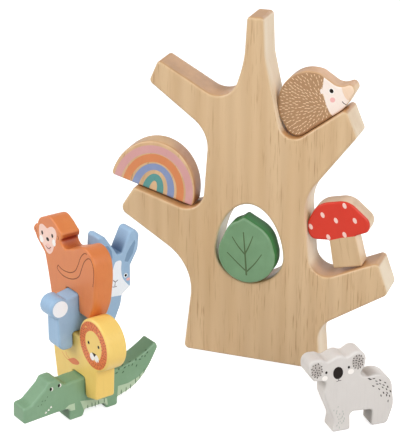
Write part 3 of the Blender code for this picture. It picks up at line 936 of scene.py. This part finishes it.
# %% [markdown]
# Hedgehog, rainbow and mushroom are printed on the front alone, and keep bare wood round
# their sides. The hedgehog's brown ends a little way in from its rim, so it is a ground
# colour inside a ring of wood. Its bristles could all be drawn, but they follow a rule: all
# point away from a spot near the cheek. The rainbow's four bands are half rings between
# pairs of half ovals, with bare wood between them. The mushroom's red reaches to the rim of
# its cap, with pale dots where the photograph has them.

# %% Pieces in the forks
HEDGEHOG_CHEEK = [
    (50.6, 20), (50.4, 14), (49.3, 11.4), (48.5, 7.6), (48.8, 4.6), (53, 0), (70, -3),
    (70, 20),
]
HEDGEHOG_FACE = [
    (43.7, 28), (41, 25.2), (37.9, 21.9), (36.1, 22), (34.9, 21), (34.3, 18.9),
    (35.7, 17.8), (34.5, 14.7), (32.7, 9.6), (31.6, 4), (32, 0), (32, -3),
    (70, -3), (70, 32), (44, 32),
]
hedgehog_art = [
    ("face_pink", HEDGEHOG_FACE),
    ("peach", HEDGEHOG_CHEEK),
    ("milk", oval((42.5, 16.5), 2.05, 2.2)),
    ("ink", oval((42.5, 16.5), 1.5, 1.7)),
    ("blush", oval((39.2, 10.5), 2.0, 1.9)),
    ("ink", stroke([(44.8, 5.5), (45.1, 3.9), (46, 2.2)], 0.6)),
]
BRISTLE_CENTRE = (32.0, 8.5)
bristled = region("hedgehog", [("bare", HEDGEHOG_FACE)], "bristled", ("bristled", 1.9))
make_board("hedgehog", "honey", hedgehog_art, ("brown", 0.5))
add_marks("hedgehog_bristles", "hedgehog", "cream", *bristled, (2.4, 0.6), BRISTLE_CENTRE,
          2.3, 0.3, 0.12, 4)

BANDS = (
    ("band_pink", (27.6, 31.7), (33.5, 38.1)),
    ("band_orange", (20, 24.4), (25.9, 31.1)),
    ("band_blue", (12.2, 17.9), (18, 23.2)),
    ("band_teal", (3.2, 8.7), (8.8, 14.7)),
)
rainbow_art = [(ink, band(0.7, inner, outer)) for ink, inner, outer in BANDS]
make_board("rainbow", "tan", rainbow_art)

CAP = [(-40, 22), (-10.2, 23.3), (0, 24.6), (11.2, 24.9), (40, 24.9), (40, 70), (-40, 70)]
DOTS = (
    (7.5, 50), (-11.1, 44.2), (-1.5, 38.9), (13.2, 37.4), (-22.3, 35.8), (3, 26.9),
    (-10.1, 26.1),
)
mushroom_art = [("red", CAP)] + [("dot", oval(spot, 1.45, 2.35, 12)) for spot in DOTS]
make_board("mushroom", "raw", mushroom_art)

# %% [markdown]
# The animals are painted all over, and their faces are printed on the front. The crocodile
# has a pale belly in three patches, two eyes side by side and three small teeth. Its scales
# and the lines across its belly are placed marks, which is quicker to adjust than drawn
# ones, and each strays a little, as hand-drawn marks do.

# %% Crocodile
CROC_SCALES = (
    (20.4, 27.1), (22.6, 29.7), (26.2, 26.1), (25.8, 32.1), (27.8, 29.4), (31.5, 30),
    (32.6, 33), (34.6, 29.8), (38.4, 27.8), (38, 33), (41.6, 32.1), (43.5, 34.1),
    (46.2, 33.5), (48.3, 35.8), (47.2, 38.3),
)
CROC_SNOUT = ((-39.6, 26), (-41.7, 23.6), (-44.1, 23.9), (-44.9, 21.2), (-47.7, 21))
CROC_TICKS = (
    (-5.6, 6.8), (-1.9, 7.3), (0.9, 6.6), (3.9, 7.4), (8.9, 7.6), (24.2, 9.7), (28.6, 10.5),
    (32.7, 11.8), (37.3, 15.2), (41.3, 17.8), (45.2, 20.8),
)
FAR_BELOW = -1000
CROC_BELLY = (
    [(-12, 13.7), (11.4, 8.5), (12, 3), (-8.2, 3)],
    [(21.4, 15.7), (30.4, 15.4), (39.6, 17.7), (46.5, 22), (52.5, 27.6), (60, 25), (60, 0),
     (20, 0)],
    [(-24.9, 11.6), (-21.6, 13.5), (-16.8, 13.4), (-16.6, 7.8), (-20.6, 8.2), (-22.8, 9.3)],
)
crocodile_art = [("croc_belly", patch) for patch in CROC_BELLY]
crocodile_art += [("milk", oval(eye, 1.25, 1.55)) for eye in ((-35.9, 31.2), (-28.9, 32.1))]
crocodile_art += [("ink", oval(eye, 1.05, 1.4)) for eye in ((-36.6, 31.3), (-29.6, 32.2))]
for x, z in ((-41.4, 13.5), (-39, 14.9), (-36.9, 16.6)):
    crocodile_art.append(("milk", [(x - 1.1, z - 0.6), (x + 0.9, z - 0.4), (x, z + 1.2)]))
# The walls take a darker green than the face, as painted shade from the boards stacked over
# the crocodile.
make_board("crocodile", "crocodile", crocodile_art, side="croc_side")
add_marks("crocodile_scales", "crocodile", "croc_dark", CROC_SCALES, [], (2.0, 1.0),
          (FAR_BELOW, FAR_BELOW), uneven=0.2, stray=0.9, seed=3)
add_marks("crocodile_snout_dots", "crocodile", "croc_dark", CROC_SNOUT, [], (1.0, 0.7),
          (FAR_BELOW, FAR_BELOW), stray=0.3, seed=5)
add_marks("crocodile_belly_lines", "crocodile", "croc_dark", CROC_TICKS, [], (4.2, 0.7),
          (20, FAR_BELOW), stray=0.06, seed=2)

# %% [markdown]
# The lion's mane is an orange disc under a yellow face, filled with darker flecks. The
# flecks are scattered over the ring that the face leaves showing, and the spacing keeps
# them from touching. Its tail is two thin lines that end in an orange tuft, drawn as
# strokes because nothing in it repeats.

# %% Lion
MANE = oval((22, 64), 18.3, 18.3, 0, 48)
LION_FACE = soft([
    (16.4, 73.5), (12.4, 69.5), (11.4, 64.5), (13.2, 58.8), (18.2, 54.2), (24, 52),
    (29, 54.4), (32.4, 60.5), (32.9, 67.5), (28.8, 73.2), (22.4, 75.4),
])
LION_TUFT = soft([
    (-14.1, 37.9), (-11.5, 39.6), (-6.4, 42.4), (-2.1, 42.9), (1.8, 41.6), (-0.7, 39),
    (-6.8, 36.9), (-11.1, 36.9),
])
lion_art = [
    ("mane", MANE),
    ("lion", LION_FACE),
    ("lion", stroke([(28.6, 76.6), (29.9, 77.1), (30.9, 76)], 0.6)),
    ("lion", stroke([(11.4, 74.6), (12.4, 75.8), (13.9, 75.4)], 0.6)),
    ("ink", oval((15.7, 64.1), 1.3, 1.3)),
    ("ink", oval((29.1, 65.6), 1.3, 1.3)),
    ("milk", oval((20, 54.4), 3.0, 2.9)),
    ("milk", oval((26, 54.9), 3.0, 2.9)),
    ("ink", [(19.9, 58), (25.9, 58.4), (23, 55.2)]),
    ("mane", stroke([(-22.4, 40.9), (-19.2, 38.7), (-14.1, 37.4)], 0.45)),
    ("mane", stroke([(-17.1, 43.1), (-15.8, 40.7), (-12, 39.4)], 0.45)),
    ("mane", LION_TUFT),
]
speckled = region("lion", [("fleck", oval((22, 64), 17.6, 17.6, 0, 48)),
                           ("bare", oval((22, 63.8), 11.6, 12.6, 0, 32))], "fleck")
make_board("lion", "lion", lion_art)
add_marks("lion_mane_flecks", "lion", "mane_dark", *speckled, (1.8, 0.8), (22, 64), 2.0, 0.35,
          0.5, 7)

# %% [markdown]
# The rabbit's white blaze starts between the ears and widens into its muzzle, in one
# outline smoothed through sixteen points. Darker blue lies in its ears, and its tail is a
# white disc. Only one eye shows, since the head is turned, so only that one is printed.

# %% Rabbit
BLAZE = [
    (28.9, 108.8), (30.4, 110.6), (33.4, 111), (35.2, 109.4), (34.8, 103.2), (36.1, 96.1),
    (41.2, 88.9), (46, 85.5), (46, 82.4), (36.5, 82.4), (30.6, 82.9), (22, 84.2),
    (16.5, 87), (19.5, 93), (24.6, 98.5), (27.2, 104),
]
RIGHT_INNER_EAR = [
    (37.9, 109.2), (39.9, 114.7), (43.3, 119.9), (47.2, 124.1), (47.8, 121.5), (45.4, 114),
    (41, 108),
]
LEFT_INNER_EAR = [
    (20.7, 125.6), (23.9, 125), (26.8, 120.4), (27.4, 115.2), (26.6, 110.5), (24, 110.5),
    (21, 118),
]
rabbit_art = [
    ("white", oval((-18.5, 85.5), 6.4, 6.4)),
    ("white", soft(BLAZE)),
    ("rabbit_dark", RIGHT_INNER_EAR),
    ("rabbit_dark", LEFT_INNER_EAR),
    ("white", oval((38.7, 97.6), 1.7, 1.8)),
    ("ink", oval((38.7, 97.6), 1.0, 1.2)),
    ("blush", oval((40.9, 94), 1.8, 1.2)),
    ("soot", stroke([(27.8, 96.2), (29.4, 94.5)], 0.6)),
    ("soot", stroke([(31.6, 95.6), (29.4, 94.5)], 0.6)),
    ("soot", stroke([(29.4, 94.5), (28.9, 91.2)], 0.5)),
    ("soot", stroke([(26.9, 91.2), (28.9, 90.7), (30.6, 90.9)], 0.5)),
]
make_board("rabbit", "rabbit", rabbit_art)

# %% [markdown]
# The monkey's pale face has two lobes over the brows and narrows to the chin. One thin
# brown line draws its tail, curls back and goes on down its rump. A curve with a bevel
# could be that line, but a stroke that is cut into the front stays flat, as print does.

# %% Monkey
MONKEY_FACE = [
    (-44.3, 129.4), (-42.5, 132.2), (-38.7, 133.4), (-35.4, 132.7), (-32.4, 132.2),
    (-29.1, 134.2), (-25, 135.7), (-21.2, 134.8), (-19.4, 131.5), (-20.4, 126.8),
    (-23.2, 121.6), (-25, 117.3), (-27.3, 114.2), (-31.1, 112), (-34.6, 112.8),
    (-38.4, 115.8), (-42.2, 119.4), (-44.7, 123.6),
]
TAIL_ABOVE = [
    (-18.2, 107.5), (-15.1, 106.3), (-9.7, 106), (-1.8, 107.4), (5.3, 111.3), (9.8, 117.6),
    (13.6, 124.7), (18.6, 129.7), (22.2, 130.5),
]
TAIL_BELOW = [
    (-18.2, 107.5), (-20, 105), (-17.7, 102.8), (-11.5, 101.4), (-3.7, 102),
    (4.2, 104.5), (10.5, 108.8), (13.9, 114.7), (18, 122.3), (22.7, 126.9), (26.8, 127.9),
    (29.6, 124.8), (31, 119.6), (30.5, 113.4), (29.3, 107.5),
]
monkey_art = [
    ("monkey_face", soft(MONKEY_FACE)),
    ("milk", oval((-41.6, 120.6), 3.0, 2.8, -30)),
    ("milk", oval((-23.4, 123.6), 2.4, 2.8)),
    ("muzzle", oval((-31.4, 117), 4.0, 3.0)),
    ("ink", oval((-40.1, 126.2), 1.35, 1.65)),
    ("ink", oval((-25.5, 128.4), 1.35, 1.65)),
    ("ink", oval((-32.5, 123.4), 2.1, 1.5)),
    ("ink", stroke([(-35.6, 117.4), (-33.6, 116.2), (-30.8, 116.4), (-28.2, 118.5)], 0.6)),
    ("monkey_dark", stroke([(-17.6, 131), (-16.4, 130), (-17.2, 128.2)], 0.6)),
    ("monkey_dark", stroke([(-50.1, 126.6), (-49, 125.6), (-48.3, 124.3)], 0.6)),
    ("monkey_dark", stroke(TAIL_ABOVE, 0.65)),
    ("monkey_dark", stroke(TAIL_BELOW, 0.65)),
]
make_board("monkey", "monkey", monkey_art)

# %% [markdown]
# The koala is nearly white, so its marks carry it: a large dark nose, ears filled with dark
# flecks, and short dashes on its back and leg. The flecks fill an oval and are scattered.
# The dashes are few and uneven, so each has its own place in a list.

# %% Koala
LEFT_EAR = oval((-34.5, 53.4), 4.2, 5.8, 8)
RIGHT_EAR = oval((-2.7, 55.4), 4.5, 5.7, 8)
KOALA_BACK = (
    (6.9, 39.9), (8, 39.1), (10.7, 39.3), (10.5, 33.2), (12.8, 36.8), (13.6, 34.3),
    (15.3, 29.9), (15.9, 34.2), (15.8, 37.1), (18.1, 30.8), (18.7, 32.6), (19.9, 34.4),
    (19, 26.2), (21.3, 28.7), (22.1, 30.6), (22, 25.6), (21.6, 23.8), (17.1, 24.2),
    (24.5, 26.5), (24, 22.7), (23, 18.6),
)
KOALA_LEG = (
    (-16.9, 20.8), (-20.1, 18.5), (-17.8, 17.4), (-18.1, 15.7), (-15.4, 14.5), (-12.4, 14.2),
    (-13.3, 12.1), (-14.3, 10.8), (-15.9, 10.4), (-14.8, 8.5), (-13.4, 6.9), (-16.1, 7.5),
    (-15.3, 3.4), (-13, 16.4), (-11.6, 10.3), (-16.9, 12.6), (-12.2, 8.4), (-17.3, 5.4),
)
koala_art = [
    ("koala_mid", LEFT_EAR),
    ("koala_mid", RIGHT_EAR),
    ("ink", oval((-17.9, 48.7), 3.9, 5.0, 6)),
    ("ink", oval((-27.1, 50.5), 0.9, 1.1)),
    ("ink", oval((-9.6, 52), 0.9, 1.1)),
    ("milk", oval((-28.1, 46), 2.2, 2.0)),
    ("milk", oval((-7.8, 48.2), 2.4, 2.1)),
    ("soot", stroke([(-17.4, 43.9), (-17.2, 42.4)], 0.5)),
    ("soot", stroke([(-18.8, 41.9), (-17.2, 42.3), (-15.4, 42.3)], 0.5)),
]
make_board("koala", "koala", koala_art)
for name, ear in (("koala_left_ear_flecks", LEFT_EAR), ("koala_right_ear_flecks", RIGHT_EAR)):
    filled = region("koala", [("fleck", ear)], "fleck")
    add_marks(name, "koala", "koala_dark", *filled, (1.6, 0.8), np.mean(ear, axis=0), 1.75,
              0.3, 0.6, 9)
add_marks("koala_back_dashes", "koala", "koala_dark", KOALA_BACK, [], (0.85, 2.3),
          (5, 20), uneven=0.2, stray=0.25, seed=6)
add_marks("koala_leg_dashes", "koala", "koala_light", KOALA_LEG, [], (1.7, 0.8),
          (-16, 60), uneven=0.25, stray=0.35, seed=8)

# %% [markdown]
# The toy was photographed on white, between two large soft lamps, with hardly a shadow. A
# white background could come from more light, but that would bleach the paint. So the floor
# and the room light the boards as plain pale grey, and only what the camera sees of them,
# straight or in a gloss, is lifted to white by Light Path. The floor still takes the soft
# shadows. Two wide lamps in front light the fronts evenly, and a weak one behind keeps the
# backs from going flat.

# %% Stage and light
FLOOR_HALF, FLOOR_DROP, FLOOR_ROUGH = 4, 0.0001, 0.9
FLOOR_GREY, SEEN_GREY, WHITE = (0.6, 0.6, 0.6, 1), (0.65, 0.65, 0.65, 1), (1, 1, 1, 1)
FLOOR_LIFT = 0.72
ROOM_LIGHT = 0.31
LAMP_WIDTH = 1.5
LAMP_AIM = Vector((0, -0.05, 0.12))
LAMPS = {
    "right_lamp": ((1.5, -1.2, 1.35), 33),
    "left_lamp": ((-1.65, -0.95, 1.35), 29),
    "back_lamp": ((0.3, 2.2, 0.7), 8),
}


def lift_seen(net, unseen, seen, output):
    """Shows one shader to the camera, straight or in a gloss, and the other to the boards."""
    rays = net.node("ShaderNodeLightPath")
    share = net.node("ShaderNodeClamp", None, rays[0] + rays[3] + rays[6])[0]
    both = net.node("ShaderNodeMixShader", None, share, Field(net, unseen.outputs[0]), seen)
    net.fill(net.tree.nodes[output], {0: both[0]})


floor_mesh = bpy.data.meshes.new("floor")
corners = [(-1, -1), (1, -1), (1, 1), (-1, 1)]
corners = [(x * FLOOR_HALF, y * FLOOR_HALF, 0) for x, y in corners]
floor_mesh.from_pydata(corners, [], [(0, 1, 2, 3)])
floor = added("floor", floor_mesh)
floor.location.z = -FLOOR_DROP
stage = Graph("floor")
stage.fill(stage.surface, {"Base Color": FLOOR_GREY, "Roughness": FLOOR_ROUGH})
looks = {"Base Color": SEEN_GREY, "Roughness": FLOOR_ROUGH}
looks |= {"Emission Color": WHITE, "Emission Strength": FLOOR_LIFT}
seen_floor = stage.node("ShaderNodeBsdfPrincipled", None, **looks)[0]
lift_seen(stage, stage.surface, seen_floor, "Material Output")
floor_mesh.materials.append(stage.material)

world = bpy.data.worlds.new("room")
bpy.context.scene.world = world
world.use_nodes = True
room = Net(world.node_tree)
grey = world.node_tree.nodes["Background"]
room.fill(grey, {"Color": WHITE, "Strength": ROOM_LIGHT})
lift_seen(room, grey, room.node("ShaderNodeBackground", None, WHITE)[0], "World Output")
bpy.context.scene.view_settings.view_transform = "Standard"

for name, (place, watts) in LAMPS.items():
    light = bpy.data.lights.new(name, "AREA")
    light.shape = "DISK"
    light.size = LAMP_WIDTH
    light.energy = watts
    lamp = added(name, light)
    lamp.location = place
    lamp.rotation_euler = (LAMP_AIM - Vector(place)).to_track_quat("-Z", "Y").to_euler()
print("lamps:", len(LAMPS), "room light:", ROOM_LIGHT)
